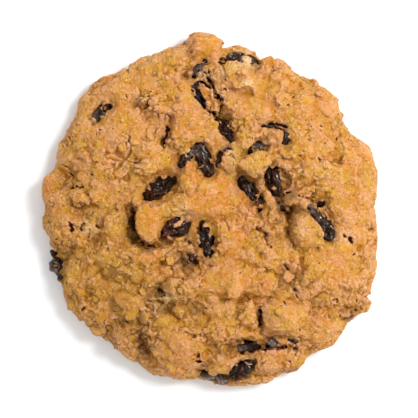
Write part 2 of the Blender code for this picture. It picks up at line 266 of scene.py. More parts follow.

# %% [markdown]
# ## Dough over the raisins
# Some raisins are half hidden: a tongue or a dab of dough has baked over them. Each dab is a squashed ball too,
# laid where the dough laps onto a raisin. Its height is found by looking straight down onto the crumb and the raisins
# with a ray, so a dab always lies on what is there.

# %% Dabs of dough, listed one by one
Dab = namedtuple("Dab", "x y length width thickness heading lift tone")
DABS = [
    # over the raisins, from the top of the cookie down
    Dab(-3.9, 39.0, 6.0, 2.0, 1.5, 42, 0.1, 0.4),
    Dab(-1.9, 37.0, 4.6, 1.6, 1.2, 42, 0.0, 0.3),
    Dab(-4.9, 36.7, 3.2, 1.5, 1.3, 42, 0.2, 0.3),
    Dab(-0.4, 30.6, 2.6, 1.8, 1.3, -60, 0.5, 0.45),
    Dab(7.4, 38.4, 5.2, 3.6, 2.6, -8, 0.2, 0.5),
    Dab(10.3, 39.9, 3.4, 1.8, 1.2, -25, 0.0, 0.95),
    Dab(0.2, 29.4, 8.4, 4.0, 1.6, -64, 0.35, 0.45),
    Dab(-31.0, 24.0, 1.6, 1.2, 1.0, 50, 0.1, 0.3),
    Dab(-27.4, 28.6, 3.8, 1.4, 1.2, 40, 0.1, 0.6),
    Dab(17.0, 19.3, 6.6, 5.0, 1.8, -25, 0.1, 0.5),
    Dab(14.9, 15.9, 5.2, 2.0, 1.4, 38, 0.1, 0.6),
    Dab(16.0, 17.8, 1.4, 0.9, 0.8, 100, 0.2, 0.4),
    Dab(-5.4, 10.9, 4.8, 2.4, 2.0, 80, 0.0, 0.2),
    Dab(5.4, 13.5, 6.0, 3.6, 2.0, 55, 0.1, 0.75),
    Dab(9.6, 2.6, 8.0, 2.6, 1.6, -58, 0.0, 0.4),
    Dab(13.4, 0.7, 1.6, 1.3, 1.2, 20, 0.2, 0.3),
    Dab(16.2, 2.6, 6.0, 2.6, 2.2, -62, 0.0, 0.5),
    Dab(20.4, 0.8, 3.0, 1.8, 1.4, -55, 0.1, 0.6),
    Dab(30.4, -0.8, 4.4, 1.7, 1.5, -38, 0.1, 0.1),
    Dab(28.0, -4.7, 9.0, 2.3, 1.8, -52, 0.2, 0.7),
    Dab(26.2, -0.6, 2.4, 1.3, 1.2, -30, 0.2, 0.6),
    Dab(-8.4, -4.3, 2.5, 1.7, 1.2, 30, 0.1, 0.3),
    Dab(-5.7, -2.7, 1.9, 1.2, 1.2, 70, 0.0, 0.5),
    Dab(-10.7, -7.4, 2.0, 1.4, 1.2, -40, 0.0, 0.4),
    Dab(-9.8, -2.8, 2.2, 1.0, 1.1, 50, 0.0, 0.6),
    Dab(-4.0, 13.7, 2.4, 1.3, 1.1, 60, 0.0, 0.6),
    Dab(0.4, 12.6, 2.2, 1.1, 1.1, -70, 0.0, 0.5),
    Dab(12.9, 3.5, 1.5, 1.0, 0.9, -20, 0.1, 0.5),
    Dab(-12.0, 8.4, 2.0, 1.2, 1.1, 20, 0.0, 0.4),
    Dab(10.4, -41.6, 1.6, 1.0, 0.9, 40, 0.1, 0.8),
    Dab(-7.4, -3.5, 1.5, 1.1, 1.0, 80, 0.1, 0.6),
    Dab(-3.3, -9.2, 4.6, 2.2, 1.6, 85, 0.0, 0.6),
    Dab(-0.8, -4.2, 2.4, 1.3, 1.2, 10, 0.0, 0.5),
    Dab(-1.7, 32.4, 3.4, 2.2, 1.5, -52, 0.35, 0.45),
    Dab(4.4, 41.3, 4.2, 1.9, 1.4, 4, 0.2, 0.5),
    Dab(9.4, 38.5, 3.8, 1.7, 1.3, -22, 0.1, 0.6),
    Dab(12.0, 38.7, 2.4, 1.5, 1.2, 30, 0.1, 0.6),
    Dab(24.6, -36.2, 2.4, 3.0, 1.7, 0, 0.1, 0.5),
    Dab(19.6, -35.5, 2.2, 2.0, 1.5, 10, 0.1, 0.6),
    Dab(-6.6, 15.6, 3.8, 2.4, 1.6, 20, 0.0, 0.7),
    Dab(12.4, 2.0, 1.9, 1.3, 1.1, 10, 0.0, 0.3),
    Dab(10.4, 6.2, 1.6, 1.0, 0.9, 70, 0.0, 0.6),
    Dab(13.6, 6.0, 5.6, 1.7, 1.8, -56, 0.0, 0.4),
    Dab(19.5, 7.6, 6.4, 1.8, 2.0, -78, 0.0, 0.5),
    Dab(16.9, 11.4, 1.9, 1.4, 1.0, 20, 0.0, 0.6),
    Dab(-15.6, 7.9, 4.4, 1.4, 1.6, 38, 0.0, 0.6),
    Dab(-11.4, 3.4, 4.0, 1.4, 1.4, 42, 0.0, 0.3),
    Dab(21.6, -36.3, 2.4, 1.3, 1.1, -30, 0.1, 0.6),
    Dab(14.2, -38.2, 4.4, 1.4, 1.3, 8, 0.0, 0.5),
    Dab(8.0, -36.2, 3.6, 1.3, 1.2, 10, 0.0, 0.4),
    Dab(-4.2, -15.2, 4.0, 1.8, 1.4, -55, 0.0, 0.5),
    Dab(3.5, -46.9, 4.4, 1.8, 1.4, 8, 0.0, 0.5),
    Dab(6.4, -41.3, 4.6, 2.0, 1.6, 60, 0.0, 0.5),
    Dab(6.0, -37.6, 4.2, 2.6, 1.2, 0, 0.0, 0.3),
    Dab(9.4, -39.7, 8.4, 2.2, 1.8, 4, 0.0, 0.4),
    Dab(17.6, -38.5, 8.0, 2.2, 1.6, -2, 0.0, 0.1),
    Dab(37.0, -28.0, 3.8, 2.8, 1.6, 36, 0.1, 0.5),
    # the tongue and the knob left of the middle
    Dab(-16.7, -3.4, 9.4, 5.8, 5.0, 98, 0.0, 0.3),
    Dab(-15.8, -7.2, 4.6, 4.2, 4.0, 90, -0.2, 0.2),
    Dab(-15.0, -12.2, 9.6, 4.0, 2.6, 6, -0.7, 0.1),
    # flakes and lumps that stand out
    Dab(-6.5, -21.0, 6.4, 4.0, 2.2, 35, 0.0, 0.7),
    Dab(0.5, -23.4, 5.0, 3.4, 2.0, -40, 0.0, 0.5),
    Dab(6.8, -21.6, 5.6, 4.2, 2.4, 50, 0.0, 0.6),
    Dab(13.0, -23.8, 5.4, 3.6, 2.0, -20, 0.0, 0.3),
    Dab(-15.6, -19.6, 4.4, 3.0, 1.8, 20, 0.0, 0.8),
    Dab(-15.0, 28.2, 8.2, 4.2, 1.8, -30, -0.1, 0.7),
    Dab(10.2, 33.4, 4.6, 2.2, 1.4, -25, 0.1, 0.9),
    Dab(-34.8, 3.4, 4.4, 3.6, 2.4, -20, 0.0, 0.6),
    Dab(-32.3, -4.9, 3.4, 1.5, 1.2, 0, 0.1, 0.95),
    Dab(12.0, 12.3, 8.0, 5.4, 2.6, 15, -0.4, 0.85),
    Dab(6.6, 16.8, 3.0, 2.4, 1.8, 0, 0.1, 0.7),
    Dab(-16.4, 10.6, 8.0, 3.2, 2.0, 5, -0.1, 0.8),
    Dab(-11.2, -23.4, 5.2, 3.2, 1.6, 30, 0.0, 0.95),
    Dab(-4.6, -32.6, 8.4, 1.6, 1.6, -10, 0.0, 0.7),
    Dab(-22.6, -4.0, 8.0, 1.8, 1.6, 80, -0.2, 0.8),
    Dab(4.4, 43.4, 4.0, 2.2, 1.6, 30, -0.4, 0.2),
    Dab(23.8, 2.4, 6.0, 3.0, 2.2, -12, -0.1, 0.6),
    Dab(10.4, -28.6, 5.4, 5.6, 2.6, 0, -0.7, 0.6),
    Dab(18.6, -29.2, 10.6, 6.2, 2.4, -28, -0.7, 0.65),
]

DAB_LIFT = 0.25
scene_trees = [crumb_tree] + raisin_trees


def top_at(x, y):
    """The highest point of the crumb or a raisin at (x, y)."""
    high = Vector((x, y, 50)) * MM
    hits = (tree.ray_cast(high, Vector((0, 0, -1)))[0] for tree in scene_trees)
    return max((hit / MM for hit in hits if hit), key=lambda hit: hit.z)


for dab in DABS:
    turn = Matrix.Rotation(math.radians(dab.heading), 3, "Z")
    spot = top_at(dab.x, dab.y) + Vector((0, 0, dab.lift + DAB_LIFT))
    flakes.append(Flake(spot, turn, (dab.length, dab.width, dab.thickness), dab.tone))
print("with the dabs laid by hand:", len(flakes))

# %% [markdown]
# ## Crumbs that cling to the raisins
# Where the dough meets a raisin it never ends in a clean line: bits of it have baked on along the edge. They are
# small squashed balls on the raisin's own surface, many near the dough and few further up. Each raisin has its own
# share, because some are clean and some are nearly covered.

# %% Crumbs on the raisins
CRUMB_SPACING = 1.0
CRUMB_SIZE = (0.8, 2.1)
CRUMB_FLATNESS = 0.65
CLING_REACH = 0.9
USUAL_SHARE = 0.6
SHARES = {"raisin_02": 0.2, "raisin_03": 0.9, "raisin_04": 0.0, "raisin_05": 0.15, "raisin_06": 0.8,
          "raisin_07": 0.2, "raisin_09": 0.9, "raisin_11": 0.35, "raisin_12": 2.0, "raisin_13": 0.4,
          "raisin_15": 0.2, "raisin_16": 0.5, "raisin_17": 1.6, "raisin_18": 0.3, "raisin_19": 0.3,
          "raisin_22": 0.25, "raisin_24": 0.8, "raisin_25": 3.0, "raisin_26": 2.0}

clinging = 0
for name, copy in zip(raisin_nodes, raisin_copies):
    copy.faces.ensure_lookup_table()
    for spot, normal in spots_on(copy, CRUMB_SPACING, 400):
        gap = crumb_tree.find_nearest(spot * MM)[3] / MM
        share = SHARES.get(name, USUAL_SHARE) * math.exp(-((gap / CLING_REACH) ** 2)) + 0.03
        if normal.z < 0.1 or picks.random() > share:
            continue
        size = picks.uniform(*CRUMB_SIZE)
        turn = random_turn(normal, 20)
        flakes.append(Flake(spot, turn, (size, size * picks.uniform(0.6, 1.0), size * CRUMB_FLATNESS), 0.4))
        clinging += 1
print("crumbs on the raisins:", clinging)

# %% [markdown]
# ## Fusing it all
# A Boolean union of hundreds of flakes would be slow and could fail. A voxel remesh does it in a second or two: it
# fills the joined shape with small cubes and wraps one closed skin of even faces round them, fine enough to carve.
# The cube's size is the finest detail that the mesh can hold.

# %% One skin over crumb and flakes
VOXEL = 0.30
BALL_DETAIL, CRUMB_DETAIL = 3, 2
UNEVEN_EDGE = 0.40
FLATNESS = 0.35
CREASE = 0.30
CUP = 0.25



def new_ball(detail):
    made = bmesh.new()
    bmesh.ops.create_icosphere(made, subdivisions=detail, radius=1.0)
    return made


ball, small_ball = new_ball(BALL_DETAIL), new_ball(CRUMB_DETAIL)
scratch = bpy.data.meshes.new("one flake")


def add_flake(mesh, source, flake, order):
    """Adds a ball flattened to a disc, cupped and creased along its length, with an uneven edge."""
    shaped = source.copy()
    shift = Vector((order * 3.7, 0, 0))
    for vertex in shaped.verts:
        x, y, z = vertex.co
        wide = max(0.05, math.hypot(x, y)) ** -FLATNESS
        wide *= 1 + UNEVEN_EDGE * noise.noise(Vector((x, y, 0)) * 1.4 + shift)
        crease = CREASE * math.exp(-((y / 0.16) ** 2)) * (1 - abs(x))
        vertex.co = Vector((x * wide, y * wide, z - (crease if z > 0 else 0) - CUP * (x * x + y * y)))
    bmesh.ops.scale(shaped, vec=Vector(flake.size) * MM / 2, verts=shaped.verts)
    place = Matrix.Translation(flake.spot * MM) @ flake.turn.to_4x4()
    bmesh.ops.transform(shaped, matrix=place, verts=shaped.verts)
    shaped.to_mesh(scratch)
    shaped.free()
    mesh.from_mesh(scratch)


dough_mesh = crumb_copy.copy()
for order, flake in enumerate(flakes):
    add_flake(dough_mesh, ball, flake, order)
dough = piece_from(dough_mesh, "baked_crumb")
remesh = dough.modifiers.new("fuse", "REMESH")
remesh.mode = "VOXEL"
remesh.voxel_size = VOXEL * MM
apply_modifiers(dough)
print("faces after fusing:", len(dough.data.polygons))

# %% [markdown]
# ## The dough's skin
# Dough softens as it bakes: edges round off, and the surface tightens into small pillows with thin creases between
# them. The fused mesh is relaxed first. Then space is split into uneven cells, as soap foam is, and each point sinks
# near the wall between two cells, which gives the creases. Two sizes of cell and a fine noise are enough. The cells
# are bent by a swirl beforehand, so that no wall is straight, and the smooth areas get little of it all.

# %% Relax, then roughen
RELAX_ROUNDS = 2
SWIRL_SIZE, SWIRL = 2.2, 1.2
PILLOWS = [(4.6, 0.50, 0.36, 3.0), (2.6, 0.30, 0.45, 5.0), (1.4, 0.12, 0.55, 9.0)]  # (size, depth, width, shift)
TONED_PILLOW = 2.6
CLUMPS = [(2.6, 0.42, 17.0), (1.3, 0.26, 19.0)]  # (size, height, shift)
GRAINS = [(0.9, 0.17, 13.0), (0.5, 0.10, 15.0)]  # (size, height, shift)
SMOOTH_SHARE, CRAGGY_EXTRA = 0.35, 0.30

# The craggiest areas, as (x, y, radius).
CRAGGY_AREAS = [(-24, -27, 12), (-4, -15, 8), (-34, -4, 8), (8, 18, 7), (-13, -30, 9), (-20, 14, 9), (20, 8, 6)]

ends = ends_of(dough.data)
spots = softened(spots_of(dough.data), ends, RELAX_ROUNDS)
move_to(dough.data, spots)
normals = normals_of(dough.data)
rough_share = 0.55 + 0.45 * smooth_step(noise_at(spots, 7.0, 41.0), -0.3, 0.3)
for x, y, radius in SMOOTH_AREAS:
    away = np.hypot(spots[:, 0] - x, spots[:, 1] - y) / radius
    rough_share *= 1 - (1 - SMOOTH_SHARE) * np.exp(-(away ** 4))
for x, y, radius in CRAGGY_AREAS:
    away = np.hypot(spots[:, 0] - x, spots[:, 1] - y) / radius
    rough_share *= 1 + CRAGGY_EXTRA * np.exp(-(away ** 4))
swirled = spots + SWIRL * swirl_at(spots, SWIRL_SIZE, 21.0)
lift = sum(height * noise_at(spots, size, shift) for size, height, shift in GRAINS)
crease = np.zeros(len(spots))
for size, depth, width, shift in PILLOWS:
    inside, pillow_tone = cells_at(swirled, size, shift)
    valley = (1 - smooth_step(inside, 0.0, width)) ** 2
    valley *= 0.2 + 0.8 * smooth_step(noise_at(spots, 0.9 * size, shift + 2), -0.25, 0.25)
    crease = np.maximum(crease, valley * rough_share)
    if size == TONED_PILLOW:
        lump_tone = pillow_tone
    lift += depth * (0.5 * (pillow_tone - 0.5) - valley) * rough_share
for size, height, shift in CLUMPS:
    lift += height * (0.2 - np.abs(noise_at(spots, size, shift))) * rough_share
spots = spots + normals * lift[:, None]
move_to(dough.data, spots)
print("height of the crumb's grain, in mm:", round(float(np.ptp(lift)), 2))

# %% [markdown]
# ## Cracks and pinholes in their places
# Steam leaves pinholes and short cracks. A crack is a groove along a few points, and a pinhole is a crack with one
# point. Both are pressed straight down by a depth that fades out over their width, softly for a hollow and steeply
# for a crack. Only points that face up are moved.

# %% Press in cracks and pinholes
Crack = namedtuple("Crack", "width depth path")
SOFT_HOLLOWS = [
    Crack(1.7, 2.2, [(-20.2, -0.8), (-20.6, -3.6), (-19.7, -7.6)]),
    Crack(4.4, 0.7, [(-22.2, -1.4), (-22.8, -4.4), (-21.6, -8.0)]),
    Crack(2.4, 1.5, [(-20.4, -7.8), (-17.6, -10.4), (-13.6, -9.8)]),
    Crack(2.2, 1.2, [(-10.2, 24.0), (-10.8, 20.4), (-12.2, 17.8)]),
    Crack(1.4, 1.2, [(22.4, 0.4), (21.2, -3.0), (21.4, -6.6), (22.8, -9.4)]),
    Crack(2.2, 1.0, [(-19.6, -33.0), (-16.0, -38.2), (-11.0, -41.6), (-6.2, -43.4)]),
    Crack(2.4, 1.0, [(-12.6, -24.6), (-11.0, -27.0), (-9.4, -29.4)]),
    Crack(1.8, 0.7, [(8.5, -44.6), (14.0, -45.2), (20.0, -43.8)]),
    Crack(2.6, 0.8, [(34.7, 12.4)]),
]
CRACKS = [
    Crack(0.7, 1.8, [(-1.0, 36.6), (0.4, 35.4), (-0.1, 33.9), (0.8, 32.7), (1.6, 30.9), (2.9, 28.3), (2.6, 26.2),
                     (3.3, 24.8)]),
    Crack(0.6, 1.4, [(1.6, 29.8), (3.6, 29.4)]),
    Crack(0.9, 1.4, [(-0.9, 27.2), (0.9, 25.5), (2.5, 24.0)]),
    Crack(0.6, 1.2, [(0.3, 33.4), (1.5, 33.8)]),
    Crack(2.0, 1.5, [(3.4, 39.6), (4.2, 38.2)]),
    Crack(1.5, 1.5, [(-2.9, -5.4), (-1.4, -7.2)]),
    Crack(1.0, 1.2, [(-6.0, -8.4), (-4.6, -9.4)]),
    Crack(0.9, 1.0, [(18.2, -37.3), (20.6, -36.9), (22.8, -36.0)]),
    Crack(0.9, 1.4, [(13.8, 22.2), (17.4, 22.8), (20.8, 22.5)]),
    Crack(1.2, 1.4, [(-20.0, -1.2), (-20.3, -3.4), (-19.6, -6.4), (-18.2, -8.6), (-15.8, -10.2)]),
    Crack(0.9, 1.2, [(-36.8, 5.2), (-35.4, 5.9), (-34.0, 5.6)]),
    Crack(0.9, 1.2, [(-37.7, -3.4), (-36.9, -4.4), (-36.6, -5.6)]),
    Crack(0.8, 1.0, [(-33.9, -4.0), (-34.2, -5.8)]),
    Crack(0.8, 1.0, [(-33.8, -27.3), (-32.7, -26.2), (-31.8, -25.5)]),
    Crack(1.1, 1.6, [(-11.0, 21.2), (-11.6, 19.0), (-12.6, 17.6)]),
    Crack(1.0, 2.0, [(13.6, -27.2), (13.9, -29.2), (13.6, -31.4)]),
    Crack(0.9, 0.9, [(13.0, -5.0), (14.6, -7.2), (16.2, -10.2)]),
    Crack(0.9, 1.0, [(20.0, -14.5), (21.4, -17.0), (23.2, -19.2)]),
    Crack(0.8, 1.3, [(20.4, 4.0), (24.0, 3.4), (27.2, 2.6), (30.4, 0.8)]),
    Crack(0.8, 1.2, [(19.4, 0.2), (21.6, -1.2)]),
    Crack(0.8, 1.0, [(2.0, 11.2), (3.2, 14.4), (4.9, 16.2)]),
    Crack(1.2, 1.8, [(13.4, 39.4), (11.8, 38.6)]),
    Crack(1.0, 1.4, [(22.9, -21.6), (23.4, -22.6), (24.3, -23.2)]),
    Crack(1.1, 1.5, [(36.8, -7.2), (37.6, -7.8), (38.2, -8.8)]),
    Crack(0.8, 0.8, [(-7.6, -32.6), (-4.4, -33.6), (-1.4, -34.0)]),
    Crack(0.8, 1.0, [(-39.6, 11.4), (-38.0, 10.4), (-36.2, 9.0)]),
    Crack(1.3, 1.8, [(-3.2, -39.6), (-2.6, -40.8)]),
    Crack(1.0, 1.2, [(-16.4, -26.0), (-15.2, -26.2)]),
    Crack(1.1, 1.4, [(13.3, -37.4), (19.7, -37.3)]),
    Crack(1.2, 1.3, [(-12.8, -21.4), (-12.2, -23.0)]),
    Crack(0.9, 1.0, [(-16.6, 27.0), (-16.9, 28.8), (-16.2, 30.0)]),
    Crack(0.8, 0.9, [(-12.2, 25.4), (-10.6, 24.6)]),
]
PINHOLES = [
    (-39.3, 11.2), (-31.0, 9.3), (-21.5, 18.3), (-22.2, 17.8), (-22.0, 30.0), (-16.0, 31.0),
    (-29.0, 21.0), (-41.0, -8.0), (-29.6, -4.9), (-30.0, -5.0), (-25.0, -32.5), (-22.0, -30.5), (-27.0, -11.0),
    (-24.0, -10.0), (-1.5, -33.5), (-6.8, -18.5), (6.4, -32.7), (3.8, -34.9), (20.5, -25.5), (34.0, -24.5),
    (38.4, -12.6), (40.3, -13.2), (40.0, -21.0), (41.5, -27.0), (39.8, -24.5), (24.5, 14.2), (25.2, 15.5),
    (29.3, 13.3), (31.2, 17.8), (27.0, 18.5), (30.0, 22.0), (34.0, 18.8), (19.5, 34.0), (24.0, 28.8),
    (22.3, 30.0), (21.0, 27.7), (18.5, 27.8), (4.0, 31.8), (4.2, 34.3), (27.7, 4.5), (20.5, 9.5),
    (28.0, -37.0), (24.0, -32.0), (22.0, -41.0), (23.0, -39.0), (16.5, -5.5), (-12.0, -22.0), (2.0, 29.6),
    (-10.0, -21.5), (-7.3, 12.6), (33.8, -24.2), (20.4, -25.0),
]
PINHOLE_WIDTH, PINHOLE_DEPTH = 0.8, 1.1
WOBBLES = [(1.9, 0.6, 51.0), (1.0, 0.6, 57.0), (0.55, 0.2, 59.0)]  # (size, how far, shift)
BROKEN_SIZE = 1.1
CRACKS += [Crack(PINHOLE_WIDTH, PINHOLE_DEPTH, [spot]) for spot in PINHOLES]
FREE_PINHOLES = 120
for _ in range(FREE_PINHOLES):
    angle, reach = picks.uniform(0, 2 * math.pi), 45 * math.sqrt(picks.random())
    spot = (reach * math.cos(angle), reach * math.sin(angle))
    CRACKS.append(Crack(picks.uniform(0.5, 0.8), picks.uniform(0.25, 0.6), [spot]))


def deepened(depths, spots, crack, steepness):
    """The depths with this crack's own added where it is the deeper one."""
    path = np.array(crack.path)
    margin = 2 * crack.width
    inside = (spots[:, :2] > path.min(axis=0) - margin) & (spots[:, :2] < path.max(axis=0) + margin)
    near = np.flatnonzero(inside.all(axis=1))
    away = np.full(len(near), np.inf)
    for start, end in zip(path, path[1:] if len(path) > 1 else path):
        run = end - start
        offset = spots[near, :2] - start
        along = np.clip(offset @ run / max(run @ run, 1e-9), 0, 1)
        away = np.minimum(away, np.linalg.norm(offset - along[:, None] * run, axis=1))
    own = crack.depth * np.exp(-((away / (0.5 * crack.width)) ** steepness))
    depths[near] = np.maximum(depths[near], own)


normals = normals_of(dough.data)
facing_up = smooth_step(normals[:, 2], 0.1, 0.6) * smooth_step(spots[:, 2], 3.0, 5.0)
wobbled = spots.copy()
for size, reach, shift in WOBBLES:
    wobbled += reach * swirl_at(spots, size, shift)
hollowed, pressed = np.zeros(len(spots)), np.zeros(len(spots))
for crack in SOFT_HOLLOWS:
    deepened(hollowed, wobbled, crack, 2)
for crack in CRACKS:
    deepened(pressed, wobbled, crack, 4)
pressed *= facing_up * (0.3 + 0.7 * smooth_step(noise_at(spots, BROKEN_SIZE, 61.0), -0.35, 0.15))
spots[:, 2] -= pressed + hollowed * facing_up

# Gaps in the rim, as (x, y, heading into the cookie, width, depth).
NOTCHES = [(5.4, 44.5, 205, 1.7, 4.0), (40.6, -22.6, 160, 1.4, 1.4), (-43.4, 13.2, -15, 1.5, 1.2),
           (-34.4, -31.4, 45, 1.4, 1.2), (28.4, 37.0, 232, 1.3, 1.0), (-22.4, 38.4, -60, 1.4, 1.0)]
NOTCH_FADE = 2.4
for x, y, heading, width, depth in NOTCHES:
    inward = np.array([math.cos(math.radians(heading)), math.sin(math.radians(heading))])
    offset = wobbled[:, :2] - (x, y)
    across = offset @ np.array([-inward[1], inward[0]])
    along = offset @ inward
    drawn = depth * np.exp(-((2 * across / width) ** 2)) * smooth_step(-along, -NOTCH_FADE, 0.0)
    drawn *= np.abs(along) < 2 * NOTCH_FADE
    spots[:, :2] += drawn[:, None] * inward
print("cracks and pinholes:", len(CRACKS))

# %% [markdown]
# ## Staying in the cookie's own size
# The tray kept the base flat, so whatever reaches below it is pressed back up, which also leaves the flakes flush
# there as on a real base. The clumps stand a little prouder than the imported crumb. Near the edge of its box the
# points are drawn in by an amount that grows smoothly, so nothing is cut off flat.

# %% Press the base flat and hold the rest inside the box
EASE = 1.2
BASE_RELIEF = 0.35


def held_below(values, limit):
    """Values eased down so that none is past the limit."""
    over = np.maximum(values - (limit - EASE), 0)
    return np.where(over > 0, limit - EASE * np.exp(-over / EASE), values)


low, high = (np.array(corner) / MM for corner in cad_box)


def held_inside(spots):
    """The points eased in so that all are inside the box."""
    held = np.maximum(spots, (-np.inf, -np.inf, low[2]))
    for axis in range(3):
        held[:, axis] = held_below(held[:, axis], high[axis])
        if axis < 2:
            held[:, axis] = -held_below(-held[:, axis], -low[axis])
    return held


# Flakes that stand out from the side are pushed most of the way back in.
RIM_REACH, RIM_STEEP, RIM_BULGE, RIM_SHARE = 34.0, 0.75, 0.5, 0.35
rim = (np.hypot(spots[:, 0], spots[:, 1]) > RIM_REACH) & (np.abs(normals[:, 2]) < RIM_STEEP)
for index in np.flatnonzero(rim):
    near, facing, _, _ = crumb_tree.find_nearest(Vector(spots[index]) * MM)
    out = Vector(spots[index]) - near / MM
    if out.dot(facing) > 0 and out.length > RIM_BULGE:
        spots[index] -= np.array(out.normalized()) * (out.length - RIM_BULGE) * (1 - RIM_SHARE)
print("points at the rim:", int(rim.sum()))

spots = held_inside(spots)
base_pores = BASE_RELIEF * np.clip(noise_at(spots, 2.4, 61.0, 3), 0, 1)
spots[:, 2] = np.maximum(spots[:, 2], base_pores)
move_to(dough.data, spots)

# %% [markdown]
# ## What the colour needs to know
# Toasting follows the shape: high smooth dough browns to orange and flakes stay straw coloured. Hollows are painted
# darker as painted shade, and raised points paler as painted highlight. A material can't measure that, so the numbers
# are worked out here and stored on the points. How sunken a point is comes from comparing the mesh with a smoothed copy
# of itself, at a fine and at a broad scale.

# %% Store flake tone and depth on the points
data = dough.data
normals = normals_of(data)
fine = softened(spots, ends, 6)
broad = softened(fine, ends, 60)
sunken_fine = ((fine - spots) * normals).sum(axis=1)
sunken_broad = ((broad - spots) * normals).sum(axis=1)
keep_values(data, "sunken_fine", sunken_fine)
keep_values(data, "sunken_broad", sunken_broad)
keep_values(data, "crease", crease)
keep_values(data, "lump_tone", softened(lump_tone[:, None], ends, 1)[:, 0])
keep_values(data, "pit", pressed)

tree = KDTree(len(flakes))
for index, flake in enumerate(flakes):
    tree.insert(flake.spot, index)
tree.balance()
tone = np.zeros(len(spots))
on_flake = np.zeros(len(spots))
for i, spot in enumerate(spots):
    best = 9.0
    for _, index, _ in tree.find_n(spot, 4):
        flake = flakes[index]
        local = flake.turn.transposed() @ (Vector(spot) - flake.spot)
        reach = math.sqrt(sum((2 * c / s) ** 2 for c, s in zip(local, flake.size)))
        if reach < best:
            best = reach
            tone[i] = flake.tone
    on_flake[i] = max(0.0, min(1.0, (1.45 - best) / 0.5))
tone = softened(tone[:, None], ends, 2)[:, 0]
on_flake = softened(on_flake[:, None], ends, 2)[:, 0]
keep_values(data, "flake_tone", tone)
keep_values(data, "on_flake", on_flake)
for name, values in (("fine", sunken_fine), ("broad", sunken_broad), ("tone", tone), ("flake", on_flake)):
    print(name, np.round(np.percentile(values, [2, 25, 50, 75, 98]), 3))

# %% Toasted and pale areas, listed one by one
# (x, y, radius, how toasted): above 0 is orange, below 0 is pale. The pale patches at (24, -6) and (19, -29) on
# lit lump tops and at (45, -8) on the lit rim are painted highlight.
TOAST_AND_HIGHLIGHT_PATCHES = [
    (-43, 4, 5, 0.7), (0, 4, 8, 0.6), (-5.5, 11, 3, 0.6), (-16, -2, 4, 0.5), (0, 44, 6, 0.7),
    (30.5, -1.5, 2.5, 0.8), (-15, -12, 5, 0.6), (10, -19, 9, 0.5), (17, -40, 5, 0.6), (-7, 25, 6, 0.45),
    (40, 13, 6, 0.45), (31, 30, 8, 0.35), (-8, -38, 8, 0.3), (35, -16, 8, 0.3), (11, -4, 6, 0.5),
    (12, 12.5, 5, -0.6), (6, 12.5, 3, -0.6), (24, -6, 4, -0.6), (19, -29, 6, -0.5), (-16, 10.5, 4, -0.4),
    (-11, -23.4, 3, -0.8), (-24, 20, 7, -0.25), (10, 33.4, 3, -0.7), (-22, -4, 3, -0.4), (45, -8, 6, -0.4),
]
# Broad areas that are ochre and less rosy, as (x, y, radius, how ochre).
OCHRE_AREAS = [(-30, -16, 20, 1.0), (-12, -28, 13, 0.8), (-39, 8, 9, 0.6), (-8, -14, 8, 0.6), (10, 12, 6, 0.5)]
# Darker brown patches, as (x, y, radius, how brown): partly moist brown dough, and partly painted shade in the
# shadow beside the knob, on the lower left away from the light and in the hollows by the raisins.
BROWN_AND_SHADE_PATCHES = [
    (-20.6, -0.4, 1.6, 0.7), (-21.2, -4, 2, 0.9), (-20.4, -8, 2, 0.9), (-16, -10.6, 2, 0.6),
    (-5, -7.5, 2.6, 0.7), (-2.4, -3.2, 2, 0.5), (21.5, 3.4, 3.4, 0.75), (23.5, 0.4, 2.5, 0.75), (18.6, -1.4, 3.0, 0.55), (17, -36, 2.6, 0.6),
    (5.4, -38, 3, 0.6), (26, -24, 6, 0.25), (-4, -12.5, 4, 0.4), (-26.5, -17, 2.4, 0.6), (-15.4, -37.4, 2.2, 0.6), (-11.4, -41.4, 2.2, 0.5), (-12, -26.5, 3.2, 0.6),
    (-30, -20, 12, 0.22), (-22, -25, 9, 0.38), (-9, -37, 7, 0.3), (18, -29, 6, 0.3), (12, -18, 7, 0.25), (-36, 10, 6, 0.35),
    (-28, -36, 8, 0.42), (-39, -25, 7, 0.32), (-19, -43, 6, 0.42), (4, -17, 6, 0.2), (22, 9, 5, 0.2), (-22, 4, 4, 0.3), (27, -3, 4, 0.2),
    (-6, -13, 5, 0.6), (-21, -30, 8, 0.45), (-11, -21, 3, 0.7), (-4, -27, 5, 0.4), (10, 7, 4, 0.6),
    (-38, -12, 4, 0.45), (-27, -21, 5, 0.3), (24, -19, 4, 0.45), (22, -5, 2.5, 0.4), (-18, -36, 5, 0.35),
    (-22, -8, 3, 0.4), (3, -38, 4, 0.5), (6, 9, 3, 0.4), (-2, 36, 3, 0.5), (-40, 8, 4, 0.3), (-13, 7, 5, 0.35),
    (16, -7, 4, 0.4), (14, 8, 3, 0.4), (20, 15, 3, 0.3),
]
# Pale dough and bloom, as (x, y, radius, how pale). The patch at (24.6, -6.4) is painted highlight on a lit lump top.
CREAMY = [
    (10.2, 40.0, 2.4, 1.0), (7.6, 38.4, 1.8, 0.5), (-5.2, 14.6, 1.4, 0.7), (-2.6, 35.6, 1.4, 0.8), (-11.2, -23.4, 1.8, 0.8),
    (10.2, 33.4, 1.2, 0.8), (-32.3, -4.9, 1.6, 0.8), (0.4, 5.4, 1.2, 0.5), (-7.0, -0.5, 2.0, 0.4), (17.2, -35.4, 1.4, 0.5),
    (-13.6, -26.6, 1.2, 0.8), (24.6, -6.4, 1.8, 0.4), (5.8, 15.0, 2.4, 0.4), (-31.2, 23.8, 1.2, 0.4), (3.0, 36.5, 1.4, 0.4),
]

